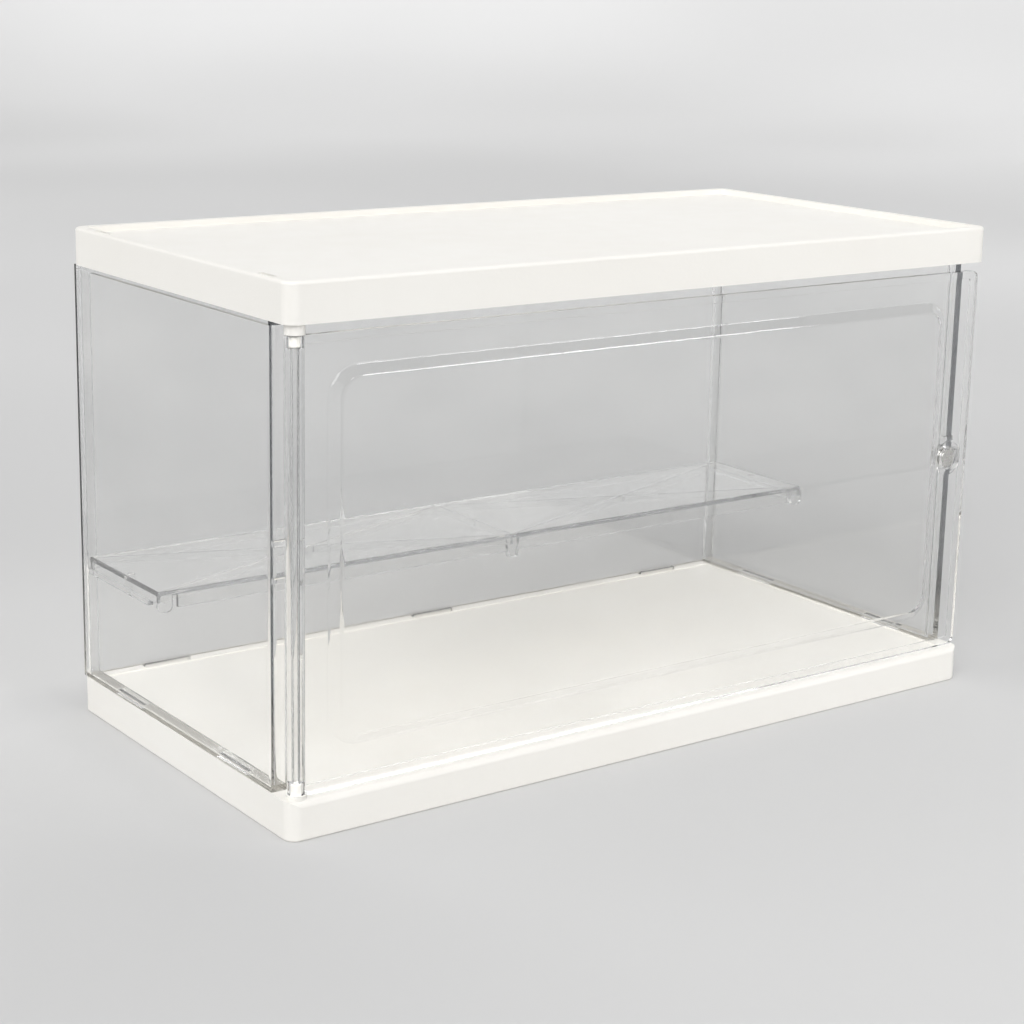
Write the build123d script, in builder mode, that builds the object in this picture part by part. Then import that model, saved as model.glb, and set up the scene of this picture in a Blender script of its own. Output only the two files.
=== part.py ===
"""Clear-sided, stackable shoe box with a hinged front door and a half-depth inner shelf.

Millimetres, +Z up. The origin is the centre of the footprint on the table and the front
(the door side) faces -Y. The white base and lid carry four clear mouldings: two side
panels, the back panel and the door, whose hinge column turns on pins of the base and lid.
"""

import os

from build123d import *

os.makedirs("parts", exist_ok=True)

# ---- overall size ---------------------------------------------------------------------
WIDTH = 340.0
DEPTH = 170.0
HEIGHT = 200.5
CORNER_R = 5.0                      # vertical corners of base and lid
BASE_H = 15.0
LID_H = 14.9
LID_Z = HEIGHT - LID_H              # lower edge of the lid skirt, where the panels end
MID_Z = (BASE_H + LID_Z) / 2
PANEL_H = LID_Z - BASE_H

# ---- base -----------------------------------------------------------------------------
BASE_WALL = 2.2
BASE_FLOOR = 2.2
FRONT_ROUND_R = 2.5                 # full round on the front top edge
FOOT_EDGE_R = 0.8
FLOOR_INSET = 7.4                   # border around the sunk floor field
FLOOR_SINK = 0.5
BASE_RIB_X = (-56.0, 56.0)
BASE_RIB_T = 1.6
BASE_RIB_CLEAR = 1.0                # the ribs stop this far above the table

# ---- lid ------------------------------------------------------------------------------
LID_WALL = 2.0
LID_EDGE_R = 1.3
RIM_W = 4.4                         # raised stacking rim around the lid top
RIM_H = 2.4
LID_PLATE = 2.3
CHANNEL_W = 5.0                     # channel between skirt and inner wall, over the panels
LID_INNER_WALL = 2.0
PLATE_Z = HEIGHT - RIM_H - LID_PLATE

# ---- clear panels ---------------------------------------------------------------------
SKIN = 0.3                          # panels stand this far inside the outline
WEB = 2.0
SIDE_X = WIDTH / 2 - SKIN           # outer face of a side panel
SIDE_FRONT_Y = -71.5
SIDE_BACK_Y = 82.0
FLANGE = 4.4
FLANGE_IN_R = 1.2
PANEL_EDGE_R = 0.5                  # outer upright edges of the side panels
SEAM = 0.1                          # air between the side panels and the back panel
BACK_T = 2.6
BACK_CORNER_R = 1.2

# ---- tabs that lock the panels into base and lid --------------------------------------
TAB_T = 2.0
TAB_STANDOFF = 0.3                  # gap between the tab root and the outer wall it passes
FOOT_H = 0.8                        # root of the back panel's tabs
TAB_DROP = 5.0                      # below the floor's top face
BARB = 0.9
BARB_H = 1.6
SLOT_W = 4.2
SLOT_PLAY = 0.4
SIDE_TABS_Y = (44.5, -40.5)
SIDE_TAB_L = 22.0
HOOKS_Y = (62.5, -66.0)
HOOK_L = 10.2
HOOK_T = 1.4
HOOK_TOP_Z = PLATE_Z + 0.8           # left hooks reach into the slots of the lid
BLIND_HOOK_TOP_Z = PLATE_Z - 0.3     # right hooks end under the plate
BACK_TABS_X = (-132.5, 0.0, 132.5)
BACK_TAB_L = 21.0
BACK_TAB_RISE = 5.5

# ---- hinge ----------------------------------------------------------------------------
HINGE_X = -164.5
HINGE_Y = -80.0
PIN_R = 2.0
PIN_CLEAR = 0.05                    # radial running clearance
COLLAR_R = 3.7
BASE_COLLAR_H = 1.3
LID_COLLAR_H = 3.8
PIN_IN_DOOR = 4.4
PIN_END_GAP = 0.3
END_GAP = 0.3
COLUMN_R = 3.3
CORE_R = 1.0                        # bore that cores out the column between the pins

# ---- door -----------------------------------------------------------------------------
DOOR_T = 2.0
DOOR_EDGE_X = SIDE_X
DOOR_LOW_Z = 15.4
DOOR_TOP_Z = 181.3
DOOR_CORNER_R = 3.0
BEAD_W = 3.2                        # thickened margin on the back of the door
BEAD_H = 0.5
FIELD_X = (-151.2, 151.6)           # outer outline of the pressed field
FIELD_Z = (30.6, 169.7)
FIELD_R = 12.0
FIELD_SLOPE = 4.2
FIELD_RISE = 2.0                    # the field stands proud of the door's front
FIELD_FRONT_R = (2.4, 1.2)          # inner and outer edge of the slope, on the front
FIELD_BACK_R = (0.8, 0.4)           # the same edges on the back

# ---- magnetic catch -------------------------------------------------------------------
CATCH_X = 160.0
MAGNET_R = 4.0
MAGNET_T = 2.0
MAGNET_CLEAR = 0.05
MAGNET_CHAMFER = 0.3
SEAT_GAP = 0.1                      # pocket depth beyond the magnet's thickness
PAD_R = 7.3
PAD_T = 0.8
BOSS_R = 5.1
BOSS_FACE_Y = -76.9                 # back face of the door's boss
TONGUE_R = 5.1
TONGUE_T = 3.0
TONGUE_FACE_Y = -76.6
TONGUE_ARM_H = 6.4
STOP_RIB_PITCH = 13.5
STOP_RIB_T = 2.2
STOP_RIB_H = 1.2
STOP_RIB_R = 0.5

# ---- shelf ----------------------------------------------------------------------------
SHELF_X = 167.2                     # half length
SHELF_Y = (18.0, 79.6)
SHELF_TOP_Z = 66.5
SHELF_T = 2.0
SHELF_CORNER_R = 1.5
SHELF_EDGE_R = 0.7
SHELF_SKIRT_T = 1.6
SHELF_LIP_Z = 59.4
SHELF_LIP_X = 158.5
SHELF_EAR_Z = 58.0
SHELF_EAR_W = 6.4
SHELF_END_Z = 61.8
SHELF_RIB_T = 1.2
SHELF_RIB_Z = 61.8
POST_Z = 58.6
POST_TOP_R = 1.6
POST_LOW_R = 1.1
END_POST_INSET = 4.0
CENTRE_POST_Z = 56.5
CENTRE_POST_W = (7.0, 3.6)
LEDGE_GAP = 0.3
LEDGE_W = 2.5
LEDGE_H = 2.0
LEDGE_FRONT_Y = 26.0


def finish(name, piece):
    """Label a finished piece and write it as its own STEP file."""
    piece.label = name
    export_step(piece, f"parts/{name}.step")


def box_between(x, y, z, mode=Mode.ADD):
    """Axis-aligned block from (low, high) pairs, added to the part that is being built."""
    centre = tuple((low + high) / 2 for low, high in (x, y, z))
    with Locations(centre):
        Box(abs(x[1] - x[0]), abs(y[1] - y[0]), abs(z[1] - z[0]), mode=mode)


def upright(radius, z_low, z_high, mode=Mode.ADD):
    """Cylinder on the hinge axis."""
    with BuildSketch(Plane.XY.offset(z_low)) as section:
        with Locations((HINGE_X, HINGE_Y)):
            Circle(radius)
    extrude(section.sketch, amount=z_high - z_low, mode=mode)


def ring_cut(inset_out, inset_in, z_low, z_high):
    """Cut the band between two insets of the outline."""
    with BuildSketch(Plane.XY.offset(z_low)) as band:
        rounded_outline(inset_out)
        rounded_outline(inset_in, mode=Mode.SUBTRACT)
    extrude(band.sketch, amount=z_high - z_low, mode=Mode.SUBTRACT)


def rounded_outline(inset, mode=Mode.ADD):
    """The footprint, brought in by an inset on every side."""
    radius = max(CORNER_R - inset, 1.0)
    RectangleRounded(WIDTH - 2 * inset, DEPTH - 2 * inset, radius, mode=mode)


# ---- base: an upside-down tray whose floor carries the panels --------------------------
HOLLOW_TOP = BASE_H - BASE_FLOOR
COLUMN_LOW_Z = BASE_H + BASE_COLLAR_H + END_GAP
COLUMN_TOP_Z = LID_Z - LID_COLLAR_H - END_GAP
WEB_IN = SIDE_X - WEB                       # inner face of the side panels, as |x|
TAB_LINE = WEB_IN - TAB_STANDOFF            # outer face of the side tabs, as |x|
BACK_TAB_Y = SIDE_BACK_Y - TAB_STANDOFF     # rear face of the back tabs

with BuildPart() as base_tray:
    with BuildSketch(Plane.XY):
        rounded_outline(0)
    extrude(amount=BASE_H)
    fillet(base_tray.faces().sort_by(Axis.Z)[0].edges(), FOOT_EDGE_R)
    with BuildSketch(Plane.YZ):
        with Locations((-DEPTH / 2 + FRONT_ROUND_R / 2, BASE_H - FRONT_ROUND_R / 2)):
            Rectangle(FRONT_ROUND_R, FRONT_ROUND_R)
        with Locations((-DEPTH / 2 + FRONT_ROUND_R, BASE_H - FRONT_ROUND_R)):
            Circle(FRONT_ROUND_R, mode=Mode.SUBTRACT)
    extrude(amount=WIDTH / 2, both=True, mode=Mode.SUBTRACT)
    with BuildSketch(Plane.XY.offset(BASE_H - FLOOR_SINK)):
        rounded_outline(FLOOR_INSET)
    extrude(amount=FLOOR_SINK, mode=Mode.SUBTRACT)
    with BuildSketch(Plane.XY):
        rounded_outline(BASE_WALL)
    extrude(amount=HOLLOW_TOP, mode=Mode.SUBTRACT)
    for rib_x in BASE_RIB_X:
        box_between(
            (rib_x - BASE_RIB_T / 2, rib_x + BASE_RIB_T / 2),
            (-DEPTH / 2 + BASE_WALL, DEPTH / 2 - BASE_WALL),
            (BASE_RIB_CLEAR, HOLLOW_TOP),
        )
    for side in (-1, 1):
        slot_x = sorted((side * (TAB_LINE + TAB_STANDOFF), side * (TAB_LINE + TAB_STANDOFF - SLOT_W)))
        for tab_y in SIDE_TABS_Y:
            half = SIDE_TAB_L / 2 + SLOT_PLAY
            box_between(slot_x, (tab_y - half, tab_y + half), (HOLLOW_TOP, BASE_H), Mode.SUBTRACT)
    for tab_x in BACK_TABS_X:
        half = BACK_TAB_L / 2 + SLOT_PLAY
        box_between(
            (tab_x - half, tab_x + half),
            (SIDE_BACK_Y - SLOT_W, SIDE_BACK_Y),
            (HOLLOW_TOP, BASE_H),
            Mode.SUBTRACT,
        )
    upright(COLLAR_R, BASE_H - FRONT_ROUND_R, BASE_H + BASE_COLLAR_H)
    upright(PIN_R, BASE_H, COLUMN_LOW_Z + PIN_IN_DOOR - PIN_END_GAP)
    fillet(base_tray.edges().filter_by(GeomType.CIRCLE).sort_by(Axis.Z)[-1], PIN_R / 4)
finish("base_tray", base_tray.part)


# ---- lid: top plate with a raised rim, skirt and an inner wall -------------------------
with BuildPart() as lid:
    with BuildSketch(Plane.XY.offset(LID_Z)):
        rounded_outline(0)
    extrude(amount=LID_H)
    fillet(lid.faces().sort_by(Axis.Z)[-1].edges(), LID_EDGE_R)
    with BuildSketch(Plane.XY.offset(HEIGHT - RIM_H)):
        rounded_outline(RIM_W)
    extrude(amount=RIM_H, mode=Mode.SUBTRACT)
    ring_cut(LID_WALL, LID_WALL + CHANNEL_W, LID_Z, PLATE_Z)
    with BuildSketch(Plane.XY.offset(LID_Z)):
        rounded_outline(LID_WALL + CHANNEL_W + LID_INNER_WALL)
    extrude(amount=PLATE_Z - LID_Z, mode=Mode.SUBTRACT)
    for hook_y in HOOKS_Y:
        half = HOOK_L / 2 + SLOT_PLAY
        box_between(
            (-WEB_IN - TAB_STANDOFF, -WEB_IN + HOOK_T + TAB_STANDOFF),
            (hook_y - half, hook_y + half),
            (PLATE_Z, HEIGHT),
            Mode.SUBTRACT,
        )
    upright(COLLAR_R, LID_Z - LID_COLLAR_H, PLATE_Z)
    upright(PIN_R, COLUMN_TOP_Z - PIN_IN_DOOR + PIN_END_GAP, LID_Z)
    fillet(lid.edges().filter_by(GeomType.CIRCLE).sort_by(Axis.Z)[0], PIN_R / 4)
finish("lid", lid.part)


# ---- side panels: one channel-shaped moulding, mirrored for the right side -------------
def side_moulding(hook_top_z):
    """A side panel, drawn on the left: web, flanges, ledge, stop ribs, floor tabs, lid hooks."""
    web_in = -WEB_IN
    flange_in = web_in + FLANGE
    tab_out, tab_in = -TAB_LINE, -TAB_LINE + TAB_T
    ledge_top = SHELF_END_Z - LEDGE_GAP
    barb_top = HOLLOW_TOP - SLOT_PLAY
    with BuildPart() as panel:
        with BuildSketch(Plane.XY.offset(BASE_H)):
            with BuildLine():
                Polyline(
                    (-SIDE_X, SIDE_FRONT_Y),
                    (flange_in, SIDE_FRONT_Y),
                    (flange_in, SIDE_FRONT_Y + WEB),
                    (web_in, SIDE_FRONT_Y + WEB),
                    (web_in, SIDE_BACK_Y - WEB),
                    (flange_in, SIDE_BACK_Y - WEB),
                    (flange_in, SIDE_BACK_Y),
                    (-SIDE_X, SIDE_BACK_Y),
                    close=True,
                )
            make_face()
        extrude(amount=PANEL_H)
        inner_corners = panel.edges().filter_by(Axis.Z).filter_by_position(Axis.X, web_in, web_in)
        fillet(inner_corners, FLANGE_IN_R)
        outer_corners = panel.edges().filter_by(Axis.Z).filter_by_position(Axis.X, -SIDE_X, -SIDE_X)
        fillet(outer_corners, PANEL_EDGE_R)
        for rib_z in (MID_Z - STOP_RIB_PITCH / 2, MID_Z + STOP_RIB_PITCH / 2):
            with BuildSketch(Plane.YZ.offset(-SIDE_X + PANEL_EDGE_R)) as rib:
                with Locations((SIDE_FRONT_Y, rib_z)):
                    RectangleRounded(2 * STOP_RIB_H, STOP_RIB_T, STOP_RIB_R)
            extrude(rib.sketch, amount=flange_in + SIDE_X - PANEL_EDGE_R)
        for flange_z in ((BASE_H, BASE_H + WEB), (LID_Z - WEB, LID_Z)):
            box_between(
                (web_in, flange_in), (SIDE_FRONT_Y + WEB, SIDE_BACK_Y - WEB), flange_z
            )
        box_between(
            (web_in, web_in + LEDGE_W),
            (LEDGE_FRONT_Y, SIDE_BACK_Y - WEB),
            (ledge_top - LEDGE_H, ledge_top),
        )
        for tab_y in SIDE_TABS_Y:
            span = (tab_y - SIDE_TAB_L / 2, tab_y + SIDE_TAB_L / 2)
            box_between((tab_out, tab_in), span, (BASE_H - TAB_DROP, BASE_H))
            box_between((tab_in, tab_in + BARB), span, (barb_top - BARB_H, barb_top))
        for hook_y in HOOKS_Y:
            span = (hook_y - HOOK_L / 2, hook_y + HOOK_L / 2)
            box_between((web_in, web_in + HOOK_T), span, (LID_Z, hook_top_z))
    return panel.part


left_moulding = side_moulding(HOOK_TOP_Z)
right_moulding = mirror(side_moulding(BLIND_HOOK_TOP_Z), about=Plane.YZ)

with BuildPart() as left_side_panel:
    add(left_moulding)
finish("left_side_panel", left_side_panel.part)

with BuildPart() as right_side_panel:
    add(right_moulding)
    tongue_y = (TONGUE_FACE_Y, TONGUE_FACE_Y + TONGUE_T)
    arm_z = (MID_Z - TONGUE_ARM_H / 2, MID_Z + TONGUE_ARM_H / 2)
    arm_end_x = SIDE_X - PANEL_EDGE_R
    with BuildSketch(Plane.XZ.offset(-tongue_y[1])):
        with Locations((CATCH_X, MID_Z)):
            Circle(TONGUE_R)
    extrude(amount=TONGUE_T)
    box_between((CATCH_X, arm_end_x), tongue_y, arm_z)
    box_between((WEB_IN - FLANGE, arm_end_x), (tongue_y[1], SIDE_FRONT_Y), arm_z)
    with BuildSketch(Plane.XZ.offset(-TONGUE_FACE_Y)):
        with Locations((CATCH_X, MID_Z)):
            Circle(MAGNET_R + MAGNET_CLEAR)
    extrude(amount=-(MAGNET_T + SEAT_GAP), mode=Mode.SUBTRACT)
finish("right_side_panel", right_side_panel.part)


# ---- back panel: flat plate with three tabs down and three up --------------------------
with BuildPart() as back_panel:
    face_y = SIDE_BACK_Y + SEAM
    box_between((-SIDE_X, SIDE_X), (face_y, face_y + BACK_T), (BASE_H, LID_Z))
    rear_edges = back_panel.edges().filter_by(Axis.Z).group_by(Axis.Y)[-1]
    fillet(rear_edges, BACK_CORNER_R)
    tab_y = (BACK_TAB_Y - TAB_T, BACK_TAB_Y)
    barb_top = HOLLOW_TOP - SLOT_PLAY
    for tab_x in BACK_TABS_X:
        span = (tab_x - BACK_TAB_L / 2, tab_x + BACK_TAB_L / 2)
        for foot_z in ((BASE_H, BASE_H + FOOT_H), (LID_Z - FOOT_H, LID_Z)):
            box_between(span, (tab_y[0], face_y), foot_z)
        box_between(span, tab_y, (BASE_H - TAB_DROP, BASE_H))
        box_between(span, (tab_y[0] - BARB, tab_y[0]), (barb_top - BARB_H, barb_top))
        box_between(span, tab_y, (LID_Z, LID_Z + BACK_TAB_RISE))
finish("back_panel", back_panel.part)


# ---- door: plate with a pressed field, hinge column and magnet boss --------------------
DOOR_FRONT_Y = HINGE_Y - DOOR_T / 2
DOOR_BACK_Y = HINGE_Y + DOOR_T / 2
TOUCH = 0.01                        # tolerance when edges are picked by position
FIELD_MID = (sum(FIELD_X) / 2, sum(FIELD_Z) / 2)
FIELD_SIZE = (FIELD_X[1] - FIELD_X[0], FIELD_Z[1] - FIELD_Z[0])


def field_loft(back_y, mode):
    """Tapered slab of the pressed field: full outline at back_y, smaller in front of it."""
    sections = []
    for rise, inset in ((0, 0), (FIELD_RISE, FIELD_SLOPE)):
        with BuildSketch(Plane.XZ.offset(-back_y + rise)) as section:
            with Locations(FIELD_MID):
                RectangleRounded(
                    FIELD_SIZE[0] - 2 * inset, FIELD_SIZE[1] - 2 * inset, FIELD_R - inset
                )
        sections.append(section.sketch)
    loft(sections, mode=mode)


def on_field(edge):
    """True for an edge on the field's outline or inside it."""
    middle = edge.center()
    in_width = FIELD_X[0] - TOUCH < middle.X < FIELD_X[1] + TOUCH
    return in_width and FIELD_Z[0] - TOUCH < middle.Z < FIELD_Z[1] + TOUCH


def catch_disc(radius, back_y, length, mode=Mode.ADD):
    """Cylinder on the catch axis, from back_y towards the front."""
    with BuildSketch(Plane.XZ.offset(-back_y)) as disc:
        with Locations((CATCH_X, MID_Z)):
            Circle(radius)
    extrude(disc.sketch, amount=length, mode=mode)


with BuildPart() as door:
    with BuildSketch(Plane.XZ.offset(-DOOR_BACK_Y)):
        with BuildLine():
            Polyline(
                (HINGE_X, DOOR_LOW_Z),
                (DOOR_EDGE_X, DOOR_LOW_Z),
                (DOOR_EDGE_X, DOOR_TOP_Z),
                (HINGE_X, DOOR_TOP_Z),
                close=True,
            )
        make_face()
        fillet(vertices().group_by(Axis.X)[-1], DOOR_CORNER_R)
    extrude(amount=DOOR_T)
    bead_x = (HINGE_X, DOOR_EDGE_X)
    bead_z = (DOOR_LOW_Z, DOOR_TOP_Z)
    with BuildSketch(Plane.XZ.offset(-DOOR_BACK_Y)):
        with Locations((sum(bead_x) / 2, sum(bead_z) / 2)):
            RectangleRounded(bead_x[1] - bead_x[0], bead_z[1] - bead_z[0], DOOR_CORNER_R)
            RectangleRounded(
                bead_x[1] - bead_x[0] - 2 * BEAD_W,
                bead_z[1] - bead_z[0] - 2 * BEAD_W,
                DOOR_CORNER_R / 2,
                mode=Mode.SUBTRACT,
            )
    extrude(amount=-BEAD_H)
    for slab_back_y, mode, radii in (
        (DOOR_FRONT_Y, Mode.ADD, FIELD_FRONT_R),
        (DOOR_BACK_Y, Mode.SUBTRACT, FIELD_BACK_R),
    ):
        field_loft(slab_back_y, mode)
        for edge_y, radius in zip((slab_back_y - FIELD_RISE, slab_back_y), radii):
            level = edges().filter_by_position(Axis.Y, edge_y - TOUCH, edge_y + TOUCH)
            fillet(level.filter_by(on_field), radius)
    catch_disc(PAD_R, DOOR_BACK_Y + PAD_T, PAD_T)
    catch_disc(BOSS_R, BOSS_FACE_Y, BOSS_FACE_Y - DOOR_BACK_Y)
    catch_disc(MAGNET_R + MAGNET_CLEAR, BOSS_FACE_Y, MAGNET_T + SEAT_GAP, Mode.SUBTRACT)
    upright(COLLAR_R + END_GAP, DOOR_LOW_Z, COLUMN_LOW_Z, Mode.SUBTRACT)
    upright(COLUMN_R, COLUMN_LOW_Z, COLUMN_TOP_Z)
    upright(CORE_R, COLUMN_LOW_Z, COLUMN_TOP_Z, Mode.SUBTRACT)
    upright(PIN_R + PIN_CLEAR, COLUMN_LOW_Z, COLUMN_LOW_Z + PIN_IN_DOOR, Mode.SUBTRACT)
    upright(PIN_R + PIN_CLEAR, COLUMN_TOP_Z - PIN_IN_DOOR, COLUMN_TOP_Z, Mode.SUBTRACT)
finish("door", door.part)


# ---- magnets of the catch: one in the door's boss, one in the right panel's tongue -----
for magnet_name, magnet_back_y in (
    ("door_magnet", BOSS_FACE_Y - SEAT_GAP / 2),
    ("catch_magnet", TONGUE_FACE_Y + SEAT_GAP / 2 + MAGNET_T),
):
    with BuildPart() as magnet:
        catch_disc(MAGNET_R, magnet_back_y, MAGNET_T)
        chamfer(magnet.edges().filter_by(GeomType.CIRCLE), MAGNET_CHAMFER)
    finish(magnet_name, magnet.part)


# ---- shelf: half-depth step that hangs between the side panels, on their ledges --------
PLATE_LOW_Z = SHELF_TOP_Z - SHELF_T
SHELF_FRONT_Y, SHELF_REAR_Y = SHELF_Y
SHELF_MID_Y = sum(SHELF_Y) / 2
LIP_Y = (SHELF_FRONT_Y, SHELF_FRONT_Y + SHELF_SKIRT_T)


def shelf_rib(start, end):
    """Stiffening rib under the plate between two (x, y) points."""
    with BuildSketch(Plane.XY.offset(SHELF_RIB_Z)) as strip:
        with BuildLine():
            Line(start, end)
        trace(line_width=SHELF_RIB_T)
    extrude(strip.sketch, amount=PLATE_LOW_Z - SHELF_RIB_Z)


with BuildPart() as shelf:
    with BuildSketch(Plane.XY.offset(PLATE_LOW_Z)):
        with Locations((0, SHELF_MID_Y)):
            RectangleRounded(2 * SHELF_X, SHELF_REAR_Y - SHELF_FRONT_Y, SHELF_CORNER_R)
    extrude(amount=SHELF_T)
    fillet(shelf.faces().sort_by(Axis.Z)[-1].edges(), SHELF_EDGE_R)
    box_between((-SHELF_LIP_X, SHELF_LIP_X), LIP_Y, (SHELF_LIP_Z, PLATE_LOW_Z))
    box_between(
        (-SHELF_X + SHELF_CORNER_R, SHELF_X - SHELF_CORNER_R),
        (SHELF_REAR_Y - SHELF_SKIRT_T, SHELF_REAR_Y),
        (SHELF_END_Z, PLATE_LOW_Z),
    )
    for side in (-1, 1):
        end_x = sorted((side * SHELF_X, side * (SHELF_X - SHELF_SKIRT_T)))
        box_between(
            end_x,
            (SHELF_FRONT_Y + SHELF_CORNER_R, SHELF_REAR_Y - SHELF_CORNER_R),
            (SHELF_END_Z, PLATE_LOW_Z),
        )
        ear_x = side * (SHELF_X - SHELF_EAR_W / 2)
        with BuildSketch(Plane.XZ.offset(-LIP_Y[1])):
            with Locations((ear_x, (SHELF_EAR_Z + PLATE_LOW_Z) / 2)):
                Rectangle(SHELF_EAR_W, PLATE_LOW_Z - SHELF_EAR_Z)
            fillet(vertices().group_by(Axis.Y)[0], SHELF_EAR_W / 2 - SHELF_RIB_T / 2)
        extrude(amount=SHELF_SKIRT_T)
        outer_x = side * (SHELF_X - SHELF_SKIRT_T)
        shelf_rib((0, LIP_Y[1]), (outer_x, SHELF_REAR_Y - SHELF_SKIRT_T))
        shelf_rib((0, SHELF_REAR_Y - SHELF_SKIRT_T), (outer_x, LIP_Y[1]))
    shelf_rib((0, LIP_Y[1]), (0, SHELF_REAR_Y - SHELF_SKIRT_T))
    post_points = [(0, SHELF_REAR_Y - SHELF_SKIRT_T), (0, SHELF_MID_Y)]
    for side in (-1, 1):
        post_points += [
            (side * SHELF_X / 2, SHELF_MID_Y),
            (side * (SHELF_X - END_POST_INSET), SHELF_MID_Y),
        ]
    post_mid_z = (PLATE_LOW_Z + POST_Z) / 2
    with Locations([(x, y, post_mid_z) for x, y in post_points]):
        Cone(POST_LOW_R, POST_TOP_R, PLATE_LOW_Z - POST_Z)
    top_half, low_half = (width / 2 for width in CENTRE_POST_W)
    with BuildSketch(Plane.XZ.offset(-LIP_Y[1] - SHELF_SKIRT_T)):
        with BuildLine():
            Polyline(
                (-top_half, PLATE_LOW_Z),
                (top_half, PLATE_LOW_Z),
                (low_half, CENTRE_POST_Z),
                (-low_half, CENTRE_POST_Z),
                close=True,
            )
        make_face()
    extrude(amount=2 * SHELF_SKIRT_T)
finish("shelf", shelf.part)
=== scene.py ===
"""Clear display shoe box: white lid and base, clear mouldings, in soft studio light."""

import math

import bmesh
import bpy
from mathutils import Matrix, Vector

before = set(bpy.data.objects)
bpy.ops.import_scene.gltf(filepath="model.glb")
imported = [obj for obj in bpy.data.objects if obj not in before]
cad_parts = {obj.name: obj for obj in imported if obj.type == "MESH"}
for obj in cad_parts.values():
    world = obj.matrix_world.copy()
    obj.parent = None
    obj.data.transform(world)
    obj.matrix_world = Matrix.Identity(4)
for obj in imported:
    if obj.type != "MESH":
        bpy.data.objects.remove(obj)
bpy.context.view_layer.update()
SCENE = bpy.context.scene

# Camera, in metres, degrees and, for its lens and sensor, millimetres
CAMERA_PLACE = Vector((-0.5295, -0.7087, 0.3076))
CAMERA_AZIMUTH = -35.955
CAMERA_ELEVATION = 13.324
CAMERA_ROLL = 1.176
CAMERA_LENS = 76.27
CAMERA_SENSOR = 36.0
CAMERA_SHIFT = (0.0019, -0.0413)            # shares of the picture's width
CAMERA_NEAR = 0.01

# Plastics and metal
PLASTIC_IOR = 1.5
WHITE_TONES = (0.865, 0.845, 0.80), (0.885, 0.868, 0.828)
WHITE_ROUGHNESS = (0.32, 0.46)
CLEAR_TONES = (0.925, 0.927, 0.925), (0.985, 0.985, 0.98)
CLEAR_ROUGHNESS = (0.01, 0.05)
CLEAR_SHADOW = (0.965, 0.962, 0.955)        # light that a clear face lets through to what it shades
SMOKE_COLOUR = (0.5, 0.515, 0.54)           # long ways through the plastic turn slate grey
SMOKE_DENSITY = 15
NICKEL_TONES = (0.58, 0.57, 0.55), (0.66, 0.65, 0.63)
NICKEL_ROUGHNESS = (0.18, 0.34)
NOISE_MIDDLE = (0.3, 0.7)                   # where nearly all of a noise texture's values lie

# Studio, in metres and degrees: a round floor with a cove, air that is brighter low down, lamps
PAPER_TONES = (0.57, 0.57, 0.57), (0.66, 0.66, 0.66)
FLOOR_FLAT = 3.0
COVE_RADIUS = 1.6
COVE_STEPS = 8
FLOOR_SIDES = 96
AIR_LOW = 1.05
AIR_HIGH = 0.45
AIR_TURN = 0.6                              # sine of the elevation where the air stops dimming
SUN_WIDTH = 52
SUNS = (                                    # name, azimuth, elevation, strength
    ("front_left_light", -47, 31, 2.95),
    ("high_light", 40, 75, 0.8),
    ("back_left_light", -125, 38, 0.9),
    ("back_right_light", 135, 38, 0.5),
)
STRIP_PLACE = (36, 23, 2.5)                 # azimuth, elevation, distance
STRIP_SIZE = (0.8, 0.3)
STRIP_POWER = 10
LIGHT_BOUNCES = 72                          # light runs a long way inside the clear panels


def towards(azimuth, elevation):
    """Direction from the box. Azimuth is in degrees from its front, towards its right side."""
    turn, rise = math.radians(azimuth), math.radians(elevation)
    return Vector(
        (
            math.sin(turn) * math.cos(rise),
            -math.cos(turn) * math.cos(rise),
            math.sin(rise),
        )
    )


def make_camera():
    """A camera that looks at the box from in front of its left corner, with a slight roll."""
    back = towards(CAMERA_AZIMUTH, CAMERA_ELEVATION)
    level_right = Vector((0, 0, 1)).cross(back).normalized()
    level_up = back.cross(level_right)
    roll = math.radians(CAMERA_ROLL)
    right = math.cos(roll) * level_right + math.sin(roll) * level_up
    up = math.cos(roll) * level_up - math.sin(roll) * level_right
    data = bpy.data.cameras.new("studio_camera")
    data.lens = CAMERA_LENS
    data.sensor_width = CAMERA_SENSOR
    data.shift_x, data.shift_y = CAMERA_SHIFT
    data.clip_start = CAMERA_NEAR
    camera = bpy.data.objects.new("studio_camera", data)
    turn = Matrix((right, up, back)).transposed().to_4x4()
    camera.matrix_world = Matrix.Translation(CAMERA_PLACE) @ turn
    SCENE.collection.objects.link(camera)
    SCENE.camera = camera


# Materials


def new_material(name):
    """A material with an empty node tree and its output node."""
    material = bpy.data.materials.new(name)
    material.use_nodes = True
    tree = material.node_tree
    tree.nodes.clear()
    return material, tree, tree.nodes.new("ShaderNodeOutputMaterial")


def map_range(tree, value, source, target):
    """A value mapped from one range to another, clamped."""
    node = tree.nodes.new("ShaderNodeMapRange")
    node.inputs["From Min"].default_value, node.inputs["From Max"].default_value = source
    node.inputs["To Min"].default_value, node.inputs["To Max"].default_value = target
    tree.links.new(value, node.inputs["Value"])
    return node.outputs["Result"]


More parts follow.
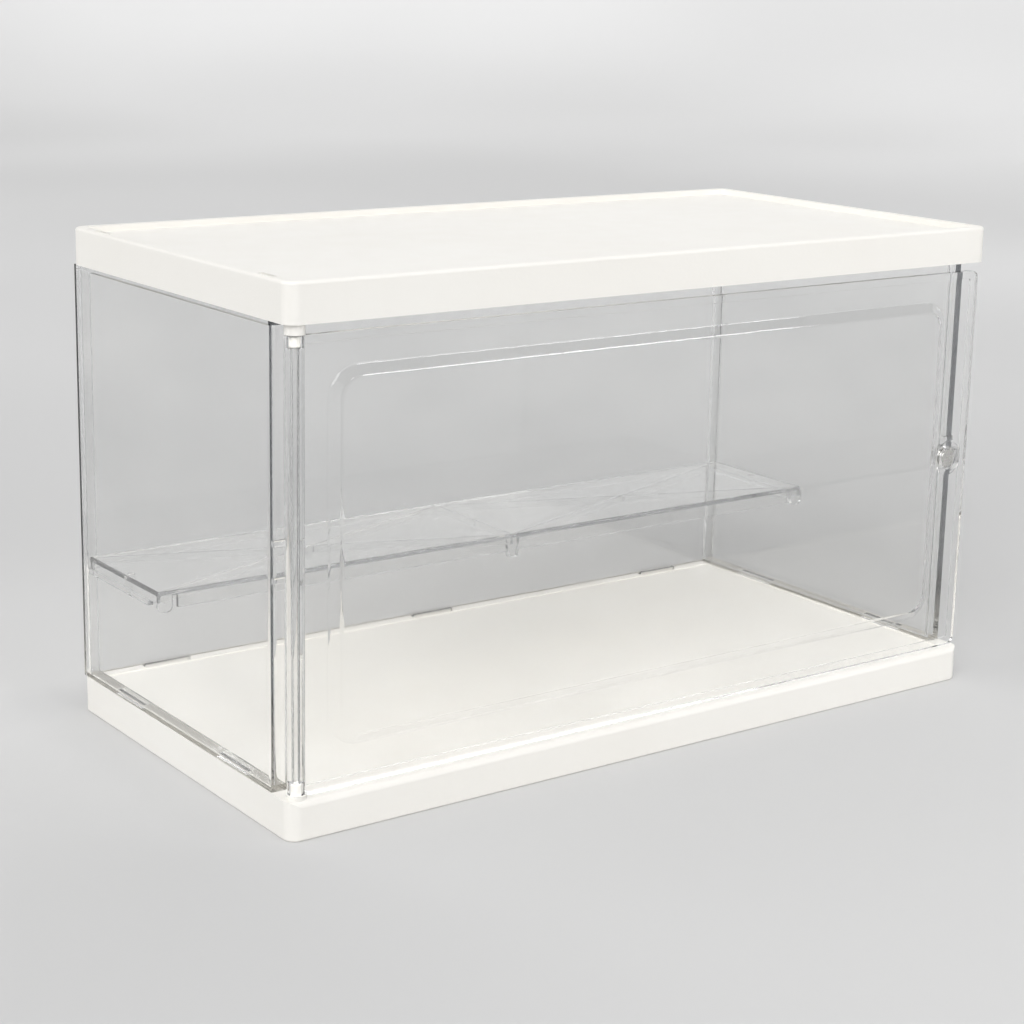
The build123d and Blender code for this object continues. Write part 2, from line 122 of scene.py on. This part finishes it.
def noise(tree, scale, detail, target=(0, 1), stretch=(1, 1, 1), turn=(0, 0, 0)):
    """Noise of about scale features to the metre, whose middle part fills the target range."""
    place = tree.nodes.new("ShaderNodeTexCoord")
    mapping = tree.nodes.new("ShaderNodeMapping")
    mapping.inputs["Scale"].default_value = stretch
    mapping.inputs["Rotation"].default_value = turn
    texture = tree.nodes.new("ShaderNodeTexNoise")
    texture.inputs["Scale"].default_value = scale
    texture.inputs["Detail"].default_value = detail
    tree.links.new(place.outputs["Object"], mapping.inputs["Vector"])
    tree.links.new(mapping.outputs["Vector"], texture.inputs["Vector"])
    return map_range(tree, texture.outputs["Fac"], NOISE_MIDDLE, target)


def two_tone(tree, factor, tones):
    """A colour between two tones, by a factor."""
    node = tree.nodes.new("ShaderNodeMix")
    node.data_type = "RGBA"
    for socket, tone in zip(("A", "B"), tones):
        node.inputs[socket].default_value = (*tone, 1)
    tree.links.new(factor, node.inputs["Factor"])
    return node.outputs["Result"]


def bump(tree, height, strength, distance):
    """A bump normal from a height."""
    node = tree.nodes.new("ShaderNodeBump")
    node.inputs["Strength"].default_value = strength
    node.inputs["Distance"].default_value = distance
    tree.links.new(height, node.inputs["Height"])
    return node.outputs["Normal"]


def principled(tree, constants, colour, roughness, normal):
    """A Principled shader's output, with its constants on its own sockets and the rest linked."""
    shader = tree.nodes.new("ShaderNodeBsdfPrincipled")
    for name, value in constants.items():
        shader.inputs[name].default_value = value
    tree.links.new(colour, shader.inputs["Base Color"])
    tree.links.new(roughness, shader.inputs["Roughness"])
    tree.links.new(normal, shader.inputs["Normal"])
    return shader.outputs["BSDF"]


def white_plastic():
    """Warm white moulding: faint blotches, satin gloss that varies a little, fine grain."""
    material, tree, output = new_material("white_moulded_plastic")
    blotches = two_tone(tree, noise(tree, scale=14, detail=3), WHITE_TONES)
    satin = noise(tree, scale=90, detail=4, target=WHITE_ROUGHNESS)
    grain = bump(tree, noise(tree, scale=900, detail=2), strength=0.12, distance=0.0002)
    plastic = principled(tree, {"IOR": PLASTIC_IOR}, blotches, satin, grain)
    tree.links.new(plastic, output.inputs["Surface"])
    return material


def clear_plastic():
    """Clear, slightly smoky moulding: slow waves, faint drifts of tone, light handling haze."""
    material, tree, output = new_material("clear_moulded_plastic")
    drift = noise(tree, scale=9, detail=2, stretch=(1, 1, 2.2), turn=(0.5, 0.6, 0))
    haze = noise(tree, scale=30, detail=3, target=CLEAR_ROUGHNESS)
    waves = bump(tree, noise(tree, scale=22, detail=1), strength=0.05, distance=0.001)
    constants = {"Transmission Weight": 1, "IOR": PLASTIC_IOR}
    plastic = principled(tree, constants, two_tone(tree, drift, CLEAR_TONES), haze, waves)
    through = tree.nodes.new("ShaderNodeBsdfTransparent")
    through.inputs["Color"].default_value = (*CLEAR_SHADOW, 1)
    path = tree.nodes.new("ShaderNodeLightPath")
    pick = tree.nodes.new("ShaderNodeMixShader")
    tree.links.new(path.outputs["Is Shadow Ray"], pick.inputs["Fac"])
    tree.links.new(plastic, pick.inputs[1])
    tree.links.new(through.outputs["BSDF"], pick.inputs[2])
    tree.links.new(pick.outputs["Shader"], output.inputs["Surface"])
    smoke = tree.nodes.new("ShaderNodeVolumeAbsorption")
    smoke.inputs["Color"].default_value = (*SMOKE_COLOUR, 1)
    smoke.inputs["Density"].default_value = SMOKE_DENSITY
    tree.links.new(smoke.outputs["Volume"], output.inputs["Volume"])
    return material


def magnet_plating():
    """Nickel-plated magnet: uneven sheen and a fine tumbled surface."""
    material, tree, output = new_material("nickel_plating")
    tarnish = two_tone(tree, noise(tree, scale=250, detail=3), NICKEL_TONES)
    sheen = noise(tree, scale=400, detail=3, target=NICKEL_ROUGHNESS)
    tumbling = bump(tree, noise(tree, scale=1500, detail=2), strength=0.1, distance=0.0001)
    nickel = principled(tree, {"Metallic": 1}, tarnish, sheen, tumbling)
    tree.links.new(nickel, output.inputs["Surface"])
    return material


def assign_materials():
    """Give each CAD node the finished material of its slot."""
    finishes = {
        "white_plastic": white_plastic(),
        "clear_plastic": clear_plastic(),
        "magnet_plating": magnet_plating(),
    }
    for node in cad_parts.values():
        slots = node.data.materials
        slots[0] = finishes[slots[0].name]


# Studio


def studio_paper():
    """Matt pale paper with slow drifts of tone."""
    material, tree, output = new_material("studio_paper")
    shader = tree.nodes.new("ShaderNodeBsdfDiffuse")
    colour = two_tone(tree, noise(tree, scale=0.9, detail=1), PAPER_TONES)
    tree.links.new(colour, shader.inputs["Color"])
    tree.links.new(shader.outputs["BSDF"], output.inputs["Surface"])
    return material


def make_floor():
    """A round sheet of paper, level under the box and turned up far away from it."""
    profile = [(FLOOR_FLAT, 0)]
    for step in range(1, COVE_STEPS + 1):
        angle = math.pi / 2 * step / COVE_STEPS
        rise = COVE_RADIUS * (1 - math.cos(angle))
        profile.append((FLOOR_FLAT + COVE_RADIUS * math.sin(angle), rise))
    mesh = bmesh.new()
    last = None
    for radius, height in profile:
        ring = [
            mesh.verts.new((radius * math.cos(turn), radius * math.sin(turn), height))
            for turn in (2 * math.pi * side / FLOOR_SIDES for side in range(FLOOR_SIDES))
        ]
        if last is None:
            mesh.faces.new(ring)
        else:
            for side, after in enumerate((*range(1, FLOOR_SIDES), 0)):
                mesh.faces.new((last[side], ring[side], ring[after], last[after]))
        last = ring
    data = bpy.data.meshes.new("studio_floor")
    mesh.to_mesh(data)
    mesh.free()
    data.shade_smooth()
    data.materials.append(studio_paper())
    floor = bpy.data.objects.new("studio_floor", data)
    SCENE.collection.objects.link(floor)


def make_air():
    """World light: bright low down, where a studio's walls are lit, and dimmer overhead."""
    world = bpy.data.worlds.new("studio_air")
    world.use_nodes = True
    tree = world.node_tree
    place = tree.nodes.new("ShaderNodeTexCoord")
    split = tree.nodes.new("ShaderNodeSeparateXYZ")
    tree.links.new(place.outputs["Generated"], split.inputs["Vector"])
    strength = map_range(tree, split.outputs["Z"], (0, AIR_TURN), (AIR_LOW, AIR_HIGH))
    tree.links.new(strength, tree.nodes["Background"].inputs["Strength"])
    SCENE.world = world


def place_lamp(name, data, azimuth, elevation, distance=0):
    """Put a lamp in a direction from the box, turned to face it. A sun needs no distance."""
    direction = towards(azimuth, elevation)
    lamp = bpy.data.objects.new(name, data)
    aim = direction.to_track_quat("Z", "Y").to_matrix().to_4x4()
    lamp.matrix_world = Matrix.Translation(direction * distance) @ aim
    SCENE.collection.objects.link(lamp)


def make_lamps():
    """Wide soft suns all round, and a soft strip that draws the highlights on the door."""
    for name, azimuth, elevation, strength in SUNS:
        sun = bpy.data.lights.new(name, "SUN")
        sun.energy = strength
        sun.angle = math.radians(SUN_WIDTH)
        place_lamp(name, sun, azimuth, elevation)
    strip = bpy.data.lights.new("strip_light", "AREA")
    strip.shape = "RECTANGLE"
    strip.size, strip.size_y = STRIP_SIZE
    strip.energy = STRIP_POWER
    place_lamp("strip_light", strip, *STRIP_PLACE)


make_camera()
assign_materials()
make_floor()
make_air()
make_lamps()

SCENE.view_settings.view_transform = "Standard"
SCENE.cycles.max_bounces = LIGHT_BOUNCES
SCENE.cycles.transmission_bounces = LIGHT_BOUNCES
SCENE.cycles.glossy_bounces = LIGHT_BOUNCES
